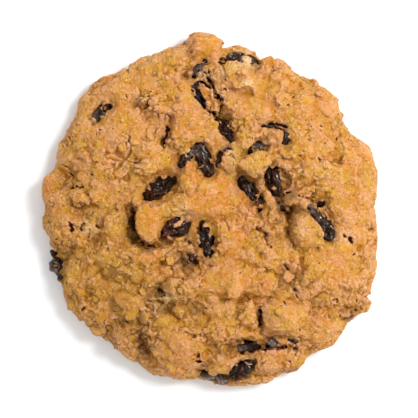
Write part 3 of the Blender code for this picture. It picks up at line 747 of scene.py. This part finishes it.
# Dough over a raisin that gets none of the stain and painted shade near the raisins, as (x, y, radius, how clean).
CLEAN = [
    (0.2, 29.2, 2.6, 1.0), (-1.4, 32.0, 1.8, 1.0), (4.6, 26.0, 2.4, 0.8), (7.2, 38.4, 2.6, 1.0), (10.2, 39.6, 2.2, 1.0),
    (19.4, -35.5, 1.6, 1.0), (24.6, -36.2, 2.0, 1.0), (-6.6, 15.4, 1.8, 0.8), (-8.0, -4.0, 1.2, 0.7),
]
STAIN_AND_SHADE_REACH = 1.5
BASE_TOAST = 0.5
raisin_spots = [vertex.co / MM for copy in raisin_copies for vertex in copy.verts]
raisin_tree = KDTree(len(raisin_spots))
for index, spot in enumerate(raisin_spots):
    raisin_tree.insert(spot, index)
raisin_tree.balance()


def patches_at(spots, patches):
    """For each patch, its amount at each point, which fades out over its radius."""
    for x, y, radius, amount in patches:
        away = np.hypot(spots[:, 0] - x, spots[:, 1] - y) / radius
        yield amount * np.exp(-(away ** 2))


def keep_place_values(data, spots):
    """Stores, for each point, its toast and painted highlight, its brown and painted shade, and how near a raisin it
    is.
    """
    base = BASE_TOAST * smooth_step(-spots[:, 2], -1.5, -0.3)
    keep_values(data, "toast_and_highlight", base + 0.25 * noise_at(spots, 9.0, 71.0, 3) + sum(patches_at(spots, TOAST_AND_HIGHLIGHT_PATCHES)))
    keep_values(data, "ochre", np.max(list(patches_at(spots, OCHRE_AREAS)), axis=0))
    brown_and_shade = np.max(list(patches_at(spots, BROWN_AND_SHADE_PATCHES)), axis=0)
    keep_values(data, "brown_and_shade", brown_and_shade * (0.6 + 0.8 * smooth_step(noise_at(spots, 2.4, 81.0), -0.3, 0.3)))
    keep_values(data, "creamy", np.max(list(patches_at(spots, CREAMY)), axis=0))
    to_raisin = np.array([raisin_tree.find(Vector(spot))[2] for spot in spots])
    clean = np.max(list(patches_at(spots, CLEAN)), axis=0)
    keep_values(data, "by_raisin", (1 - clean) * np.exp(-((to_raisin / STAIN_AND_SHADE_REACH) ** 2)))


keep_place_values(data, spots)

# %% [markdown]
# ## Fewer faces where nothing shows
# The remesh spends as many faces on the flat base and the hidden walls of the pockets as on the crags. Decimate
# takes faces away where the surface bends least, which keeps the piece light and every crag sharp.

# %% Thin the mesh
MOST_TRIANGLES = 196000
BASE_KEPT = 0.15


def decimated(piece, ratio, group=""):
    """Takes faces away until this share is left, all of them from the group if one is given."""
    thin = piece.modifiers.new("thin", "DECIMATE")
    thin.ratio = min(1.0, ratio)
    thin.vertex_group = group
    apply_modifiers(piece)


base = np.flatnonzero((normals[:, 2] < -0.5) & (spots[:, 2] < 2.0))
dough.vertex_groups.new(name="base").add(base.tolist(), 1.0, "REPLACE")
triangles = 2 * len(dough.data.polygons)
decimated(dough, 1 - (1 - BASE_KEPT) * len(base) / len(spots), "base")
dough.vertex_groups.clear()
dough.data.calc_loop_triangles()
between_times = len(dough.data.loop_triangles)
decimated(dough, MOST_TRIANGLES / between_times)
move_to(dough.data, np.maximum(spots_of(dough.data), (-np.inf, -np.inf, low[2])))
dough.data.calc_loop_triangles()
print("triangles:", triangles, "then", between_times, "thinned to", len(dough.data.loop_triangles))

# %% [markdown]
# ## Flakes and crumbs that lie on the skin
# Not every flake is under the dough. Some lie on top with one edge up, and crumbs have baked on between them. Fused
# in, their thin edges would round off, so they stay closed shells of their own, sunk part way into the finished
# skin. All the flakes are joined to one piece and all the crumbs to another, with few faces on each crumb because
# there are so many.

# %% Flakes and crumbs on the skin
TOP_SPACING, TOP_LENGTH, TOP_THICKNESS, TOP_SINK, TOP_TILT = 3.4, (2.8, 4.8), (0.6, 1.0), (0.1, 0.35), 15.0
BIT_SPACING, BIT_SIZE, BIT_FLATNESS, BIT_TILT = 1.25, (0.5, 1.6), (0.45, 0.8), 30.0
BIT_SINK = (0.15, 0.4)
TOP_CLEARANCE = 1.6

skin = bmesh.new()
skin.from_mesh(dough.data)
skin.faces.ensure_lookup_table()
top_flakes, bits = [], []
for spot, normal in spots_on(skin, TOP_SPACING, 6000):
    smooth = any(math.hypot(spot.x - x, spot.y - y) < r for x, y, r in SMOOTH_AREAS)
    near_raisin = raisin_distance(spot) < TOP_CLEARANCE
    if normal.z < 0.65 or near_raisin or picks.random() < (0.7 if smooth else 0.15):
        continue
    length = picks.uniform(*TOP_LENGTH)
    size = (length, length * picks.uniform(*FLAKE_SLENDERNESS), picks.uniform(*TOP_THICKNESS))
    turn = random_turn(normal, TOP_TILT)
    top_flakes.append(Flake(spot - normal * picks.uniform(*TOP_SINK), turn, size, picks.random()))
for spot, normal in spots_on(skin, BIT_SPACING, 16000):
    smooth = any(math.hypot(spot.x - x, spot.y - y) < r for x, y, r in SMOOTH_AREAS)
    if normal.z < -0.3 or spot.z < 1.0 or picks.random() < (0.8 if smooth else 0.35):
        continue
    length = BIT_SIZE[0] + (BIT_SIZE[1] - BIT_SIZE[0]) * picks.random() ** 2
    size = (length, length * picks.uniform(0.6, 1.0), length * picks.uniform(*BIT_FLATNESS))
    turn = random_turn(normal, BIT_TILT)
    bits.append(Flake(spot - normal * length * picks.uniform(*BIT_SINK), turn, size, picks.random()))
skin.free()
print("flakes on the skin:", len(top_flakes), "crumbs on the skin:", len(bits))


def joined_shells(name, source, shells):
    """One piece made of all these flakes, with the values that the crumb's material reads."""
    mesh = bmesh.new()
    for order, shell in enumerate(shells):
        add_flake(mesh, source, shell, order)
    piece = piece_from(mesh, name)
    spots = held_inside(spots_of(piece.data))
    move_to(piece.data, spots)
    tones = np.repeat([shell.tone for shell in shells], len(source.verts))
    keep_values(piece.data, "flake_tone", tones)
    keep_values(piece.data, "lump_tone", (7.0 * tones) % 1.0)
    keep_values(piece.data, "on_flake", np.ones(len(spots)))
    for value in ("sunken_fine", "sunken_broad", "crease", "pit"):
        keep_values(piece.data, value, np.zeros(len(spots)))
    keep_place_values(piece.data, spots)
    return piece


flake_piece = joined_shells("oat_flakes", ball, top_flakes)
bit_piece = joined_shells("baked_crumbs", small_ball, bits)
print("faces:", len(flake_piece.data.polygons), len(bit_piece.data.polygons))

# %% [markdown]
# ## The colour of baked crumb
# The skin is a mix of a few real colours: golden dough, orange where it is toasted, straw and cream on the flakes.
# Hollows, creases, cracks and pinholes are painted dark brown as painted shade, and raised points paler as painted
# highlight. Noise of several sizes keeps them from forming clean edges. A little light goes into the crumb and comes
# out again, so the Principled shader gets a small subsurface weight. Grain finer than the mesh is bump.

# %% Node helpers
def new_material(name):
    material = bpy.data.materials.new(name)
    material.use_nodes = True
    return material, material.node_tree.nodes["Principled BSDF"]


def node(material, kind, inputs=None, **settings):
    """A new node, with settings on the node and values or links on its inputs."""
    made = material.node_tree.nodes.new(kind)
    for name, value in settings.items():
        setattr(made, name, value)
    for key, value in (inputs or {}).items():
        if isinstance(value, bpy.types.NodeSocket):
            material.node_tree.links.new(value, made.inputs[key])
        else:
            made.inputs[key].default_value = value
    return made


def stored(material, name):
    return node(material, "ShaderNodeAttribute", attribute_name=name).outputs["Fac"]


def speckle(material, size, detail=3.0, roughness=0.6, shift=0.0):
    """Noise over the object's own coordinates, with bumps this many millimetres apart."""
    place = node(material, "ShaderNodeTexCoord").outputs["Object"]
    moved = node(material, "ShaderNodeVectorMath", {0: place, 1: (shift, shift, shift)}, operation="ADD")
    settings = {"Vector": moved.outputs[0], "Scale": 1 / (size * MM), "Detail": detail, "Roughness": roughness}
    return node(material, "ShaderNodeTexNoise", settings).outputs["Fac"]


def between(material, value, low, high, out_low=0.0, out_high=1.0):
    """Value spread from low..high to out_low..out_high, and held there."""
    settings = {"Value": value, "From Min": low, "From Max": high, "To Min": out_low, "To Max": out_high}
    return node(material, "ShaderNodeMapRange", settings, interpolation_type="SMOOTHSTEP").outputs["Result"]


def blend(material, amount, below, above, kind="MIX"):
    """The colour below with the colour above mixed in by this amount."""
    mix = node(material, "ShaderNodeMix", data_type="RGBA", blend_type=kind)
    for key, value in ((0, amount), (6, below), (7, above)):
        if isinstance(value, bpy.types.NodeSocket):
            material.node_tree.links.new(value, mix.inputs[key])
        else:
            mix.inputs[key].default_value = value if key == 0 else (*value, 1)
    return mix.outputs[2]


def math_node(material, operation, first, second):
    return node(material, "ShaderNodeMath", {0: first, 1: second}, operation=operation).outputs[0]


# %% Baked crumb
GOLDEN = (0.535, 0.208, 0.022)
TOASTED_ORANGE = (0.575, 0.188, 0.018)
PINK_TAN = (0.595, 0.272, 0.068)
ROSY = (0.625, 0.306, 0.128)
CARAMEL = (0.510, 0.188, 0.008)
STRAW = (0.615, 0.318, 0.040)
OLIVE_GOLD = (0.480, 0.248, 0.020)
OCHRE = (0.470, 0.232, 0.022)
MOIST_BROWN_AND_SHADE = (0.150, 0.066, 0.016)
CREAM = (0.720, 0.540, 0.290)
PAINTED_TOP_HIGHLIGHT = (0.655, 0.380, 0.285)
PALE_SPECK = (0.785, 0.490, 0.335)
DARK_SPECK = (0.270, 0.088, 0.010)
RUSSET = (0.200, 0.054, 0.020)
PAINTED_CREASE_SHADE = (0.185, 0.054, 0.005)
PAINTED_HOLLOW_SHADE = (0.235, 0.080, 0.006)
PAINTED_PORE_SHADE = (0.060, 0.018, 0.005)
PAINTED_PIT_SHADE = (0.070, 0.018, 0.004)
RAISIN_STAIN_AND_SHADE = (0.120, 0.046, 0.008)

crumb_material, crumb_shader = new_material("baked_crumb")
m = crumb_material
colour = blend(m, between(m, speckle(m, 4.0), 0.38, 0.62), GOLDEN, PINK_TAN)
colour = blend(m, between(m, stored(m, "ochre"), 0.0, 1.0, 0.0, 0.6), colour, OCHRE)
colour = blend(m, between(m, stored(m, "toast_and_highlight"), 0.05, 0.7, 0.0, 0.85), colour, TOASTED_ORANGE)
straw_amount = math_node(m, "MULTIPLY", stored(m, "on_flake"), between(m, stored(m, "flake_tone"), 0.35, 0.9))
colour = blend(m, math_node(m, "MULTIPLY", straw_amount, 0.8), colour, STRAW)
# Below zero the value paints straw: pale flakes, and painted highlight on the lit lump tops and the lit rim.
colour = blend(m, between(m, stored(m, "toast_and_highlight"), -0.15, -0.8, 0.0, 0.8), colour, STRAW)
glazed = between(m, speckle(m, 2.2, 2.0, 0.5, 0.011), 0.54, 0.62)
colour = blend(m, math_node(m, "MULTIPLY", glazed, 0.75), colour, CARAMEL)
matte = between(m, glazed, 0.0, 1.0, 1.0, 0.2)
colour = blend(m, between(m, stored(m, "lump_tone"), 0.64, 0.76, 0.0, 0.5), colour, OLIVE_GOLD)
unblushed = between(m, stored(m, "ochre"), 0.0, 1.0, 1.0, 0.25)
blush = math_node(m, "MAXIMUM", between(m, stored(m, "lump_tone"), 0.38, 0.26, 0.0, 0.6),
                  between(m, speckle(m, 1.9, 3.0, 0.6, 0.131), 0.54, 0.66, 0.0, 0.6))
colour = blend(m, math_node(m, "MULTIPLY", blush, unblushed), colour, ROSY)
speckled = math_node(m, "MULTIPLY", matte, between(m, speckle(m, 3.4, 2.0, 0.5, 0.151), 0.36, 0.60, 0.25, 1.0))
fine = speckle(m, 0.6, 3.0, 0.7, 0.037)
colour = blend(m, math_node(m, "MULTIPLY", speckled, between(m, fine, 0.53, 0.72, 0.0, 0.8)), colour, PALE_SPECK)
colour = blend(m, math_node(m, "MULTIPLY", speckled, between(m, fine, 0.46, 0.30, 0.0, 0.9)), colour, DARK_SPECK)
# Painted shade: the creases between the pillows are painted dark brown.
colour = blend(m, between(m, stored(m, "crease"), 0.3, 0.95, 0.0, 0.4), colour, PAINTED_CREASE_SHADE)
smudge = math_node(m, "MULTIPLY", speckled, between(m, speckle(m, 1.3, 4.0, 0.65, 0.171), 0.61, 0.72, 0.0, 0.6))
colour = blend(m, smudge, colour, RUSSET)
# Painted shade of tiny pores: clustered dark dots, with no hollow in the mesh under them.
pores = node(m, "ShaderNodeTexVoronoi", {"Vector": node(m, "ShaderNodeTexCoord").outputs["Object"],
                                         "Scale": 1 / (1.0 * MM)})
pore = between(m, pores.outputs["Distance"], 0.24, 0.15)
chosen = between(m, speckle(m, 2.6, 2.0, 0.5, 0.091), 0.55, 0.62)
colour = blend(m, math_node(m, "MULTIPLY", pore, chosen), colour, PAINTED_PORE_SHADE)
# Painted shade: the more sunken a point is, the darker brown it is painted.
hollow = math_node(
    m, "ADD",
    between(m, stored(m, "sunken_broad"), 0.05, 0.8, 0.0, 0.42),
    between(m, stored(m, "sunken_fine"), 0.0, 0.18, 0.0, 0.46),
)
colour = blend(m, hollow, colour, PAINTED_HOLLOW_SHADE)
# Painted highlight: points that stand above their neighbours are painted paler and creamier.
raised = between(m, stored(m, "sunken_fine"), -0.02, -0.14, 0.0, 0.55)
colour = blend(m, raised, colour, PAINTED_TOP_HIGHLIGHT)
pale = math_node(m, "MULTIPLY", stored(m, "creamy"), between(m, speckle(m, 1.0, 3.0, 0.6, 0.211), 0.35, 0.60))
colour = blend(m, pale, colour, CREAM)
# Near a raisin the crumb is darkened, partly by the raisin's stain and partly as painted shade of the recess it lies
# in.
colour = blend(m, between(m, stored(m, "by_raisin"), 0.45, 1.0, 0.0, 0.6), colour, RAISIN_STAIN_AND_SHADE)
# Moist brown, and painted shade beside the knob, on the lower left and in the hollows by the raisins.
colour = blend(m, between(m, stored(m, "brown_and_shade"), 0.0, 1.0, 0.0, 0.75), colour, MOIST_BROWN_AND_SHADE)
# Painted shade: the pressed cracks and pinholes are painted near black, the deeper the darker.
colour = blend(m, between(m, stored(m, "pit"), 0.3, 1.0), colour, PAINTED_PIT_SHADE)
m.node_tree.links.new(colour, crumb_shader.inputs["Base Color"])

rough = between(m, glazed, 0.0, 1.0, 0.52, 0.28)
m.node_tree.links.new(rough, crumb_shader.inputs["Roughness"])
bump = node(m, "ShaderNodeBump", {"Height": speckle(m, 1.0, 4.0, 0.62, 0.053), "Strength": 1.0, "Distance": 0.0012})
m.node_tree.links.new(bump.outputs["Normal"], crumb_shader.inputs["Normal"])
shine = between(m, stored(m, "sunken_broad"), 0.0, 0.4, 0.38, 0.08)
m.node_tree.links.new(shine, crumb_shader.inputs["Specular IOR Level"])
crumb_shader.inputs["Specular Tint"].default_value = (1.0, 0.78, 0.50, 1)
crumb_shader.inputs["Subsurface Weight"].default_value = 0.12
crumb_shader.inputs["Subsurface Radius"].default_value = (1.0, 0.40, 0.12)
crumb_shader.inputs["Subsurface Scale"].default_value = 0.0012

dough.data.materials.clear()
dough.data.materials.append(crumb_material)
dough.data.shade_smooth()
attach(dough, "root")
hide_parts("crumb")
for piece in (flake_piece, bit_piece):
    piece.data.materials.append(crumb_material)
    piece.data.shade_smooth()
    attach(piece, "root")

# %% [markdown]
# ## Raisins
# A raisin is a grape that has shrunk inside its skin, so the skin folds into ridges that run mostly from end to end.
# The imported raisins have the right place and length. Each one is copied, subdivided until its faces are a quarter of
# a millimetre, and then folded: where a slow noise crosses zero the skin is drawn in, which gives branching creases.
# Squeezing the noise along the raisin's length makes the creases run that way.

# %% Wrinkled skins
RAISIN_SUBDIVISIONS = 3
SWELL, SETTLE = 0.50, 0.10
BUCKLE_SIZE, BUCKLE = 3.6, 1.4
FOLDS = [(2.6, 0.75, 0.20), (1.5, 0.50, 0.18), (0.8, 0.36, 0.22)]  # (spacing, depth, width)
ALONG_STRETCH = 0.5


def lengthwise(spots):
    """The points about their middle, turned so that the first column runs along the raisin."""
    centred = spots - spots.mean(axis=0)
    _, _, axes = np.linalg.svd(centred, full_matrices=False)
    return centred @ axes.T


def wrinkled(copy, name, order):
    raisin = piece_from(copy, name)
    subdivide = raisin.modifiers.new("smooth", "SUBSURF")
    subdivide.levels = subdivide.render_levels = RAISIN_SUBDIVISIONS
    apply_modifiers(raisin)
    spots = spots_of(raisin.data)
    normals = normals_of(raisin.data)
    skin = lengthwise(spots) * np.array([ALONG_STRETCH, 1, 1])
    drawn_in = np.zeros(len(spots))
    for spacing, depth, width in FOLDS:
        slow = noise_at(skin, spacing, 10 + 3.1 * order)
        drawn_in += depth * np.exp(-((slow / width) ** 2))
    spots = spots + normals * (SWELL - drawn_in)[:, None]
    spots = spots + BUCKLE * swirl_at(spots, BUCKLE_SIZE, 5 + 1.7 * order)
    spots[:, 2] -= SETTLE
    spots = held_inside(spots)
    move_to(raisin.data, spots)
    keep_values(raisin.data, "drawn_in", drawn_in)
    keep_values(raisin.data, "bloom", stain_at(spots, BLOOMED))
    keep_values(raisin.data, "red", stain_at(spots, REDDISH))
    raisin.data.shade_smooth()
    return raisin


# Patches of grey bloom and of thin red-brown skin, as (x, y, radius).
BLOOMED = [(-5.0, 14.7, 1.7), (14.2, 17.6, 2.0), (-42.5, -17.5, 2.2), (-0.5, -46.2, 2.0), (-30.8, 24.2, 0.9),
           (16.8, -36.0, 1.8), (2.2, -45.9, 2.4), (26.6, 0.2, 1.4), (10.2, 40.2, 2.2), (-2.4, 37.2, 1.1), (7.0, -37.6, 2.0)]
REDDISH = [(-17.6, 3.6, 1.8), (13.4, 0.6, 1.6), (-11.6, -7.6, 1.8), (-27.0, 28.4, 1.0), (2.2, 23.6, 1.4)]


def stain_at(spots, patches):
    """How strong the nearest patch is at each point, from 0 to 1."""
    strength = np.zeros(len(spots))
    for x, y, radius in patches:
        away = np.hypot(spots[:, 0] - x, spots[:, 1] - y) / radius
        strength = np.maximum(strength, np.exp(-(away ** 2)))
    return strength


raisins = [
    wrinkled(copy, name + "_skin", order)
    for order, (copy, name) in enumerate(zip(raisin_copies, raisin_nodes))
]
print("faces on one raisin:", len(raisins[0].data.polygons))

# %% [markdown]
# ## Raisin skin
# Baked raisins are almost black, with a purple cast on the ridges and red-brown where the skin is thin. The folds
# are painted blacker than the ridges, as painted shade. They are sticky, so they shine: a low roughness with a thin
# coat gives small bright glints. Grey bloom and specks of dough cling to some of them.

# %% Skin colour and shine
SKIN_BLACK_AND_FOLD_SHADE = (0.013, 0.004, 0.002)
SKIN_PURPLE = (0.048, 0.014, 0.012)
SKIN_RED = (0.120, 0.022, 0.010)
BLOOM = (0.260, 0.190, 0.160)

raisin_material, raisin_shader = new_material("raisin_skin")
m = raisin_material
# Painted shade: the deeper a fold draws the skin in, the blacker it is painted.
colour = blend(m, between(m, stored(m, "drawn_in"), 0.05, 0.45), SKIN_PURPLE, SKIN_BLACK_AND_FOLD_SHADE)
red = math_node(m, "ADD", stored(m, "red"), between(m, speckle(m, 5.0, 2.0), 0.60, 0.76, 0.0, 0.4))
colour = blend(m, red, colour, SKIN_RED)
dusty = between(m, speckle(m, 1.1, 4.0, 0.7, 0.4), 0.38, 0.58)
colour = blend(m, math_node(m, "MULTIPLY", stored(m, "bloom"), dusty), colour, BLOOM)
m.node_tree.links.new(colour, raisin_shader.inputs["Base Color"])
shine = between(m, speckle(m, 1.5, 3.0, 0.6, 0.6), 0.35, 0.65, 0.16, 0.42)
m.node_tree.links.new(shine, raisin_shader.inputs["Roughness"])
sticky = between(m, speckle(m, 1.4, 2.0, 0.5, 0.8), 0.44, 0.56)
m.node_tree.links.new(sticky, raisin_shader.inputs["Coat Weight"])
fold = node(m, "ShaderNodeBump", {"Height": speckle(m, 0.55, 3.0), "Strength": 0.9, "Distance": 0.0009})
m.node_tree.links.new(fold.outputs["Normal"], raisin_shader.inputs["Normal"])
raisin_shader.inputs["Specular IOR Level"].default_value = 0.25
raisin_shader.inputs["Specular Tint"].default_value = (1.0, 0.60, 0.36, 1)
raisin_shader.inputs["Coat Roughness"].default_value = 0.08

for raisin, name in zip(raisins, raisin_nodes):
    raisin.data.materials.clear()
    raisin.data.materials.append(raisin_material)
    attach(raisin, "root")
    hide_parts(name)

# %% [markdown]
# ## Floor, light and camera
# The cookie lies on a pale floor. One large soft light stands to the right and a little above the cookie as the
# camera sees it, which puts the shadows of the lumps at the lower left, and the pale world fills them. The camera
# looks straight down with a long lens.

# %% The stage
FLOOR_WHITE = (0.86, 0.86, 0.86)
LIGHT_HEADING, LIGHT_HEIGHT, LIGHT_AWAY = 28.0, 50.0, 0.75
LIGHT_SIZE, LIGHT_WATTS, WORLD_STRENGTH = 0.32, 5.6, 0.94
CAMERA_LENS, CAMERA_HEIGHT = 150, 0.4763

floor_mesh = bmesh.new()
bmesh.ops.create_grid(floor_mesh, x_segments=1, y_segments=1, size=2.0)
floor = piece_from(floor_mesh, "floor")
floor_material, floor_shader = new_material("floor")
floor_shader.inputs["Base Color"].default_value = (*FLOOR_WHITE, 1)
floor_shader.inputs["Roughness"].default_value = 0.9
floor.data.materials.append(floor_material)

world = bpy.data.worlds.new("pale room")
world.use_nodes = True
world.node_tree.nodes["Background"].inputs["Color"].default_value = (1, 1, 1, 1)
world.node_tree.nodes["Background"].inputs["Strength"].default_value = WORLD_STRENGTH
bpy.context.scene.world = world

lamp = bpy.data.lights.new("soft light", "AREA")
lamp.shape = "DISK"
lamp.size = LIGHT_SIZE
lamp.energy = LIGHT_WATTS
light = bpy.data.objects.new("soft_light", lamp)
bpy.context.scene.collection.objects.link(light)
heading, height = math.radians(LIGHT_HEADING), math.radians(LIGHT_HEIGHT)
toward = Vector((math.cos(height) * math.cos(heading), math.cos(height) * math.sin(heading), math.sin(height)))
light.location = toward * LIGHT_AWAY
light.rotation_euler = (-toward).to_track_quat("-Z", "Y").to_euler()

lens = bpy.data.cameras.new("camera")
lens.lens = CAMERA_LENS
camera = bpy.data.objects.new("camera", lens)
bpy.context.scene.collection.objects.link(camera)
camera.location = (0, 0, CAMERA_HEIGHT)
bpy.context.scene.camera = camera
bpy.context.scene.view_settings.view_transform = "Standard"
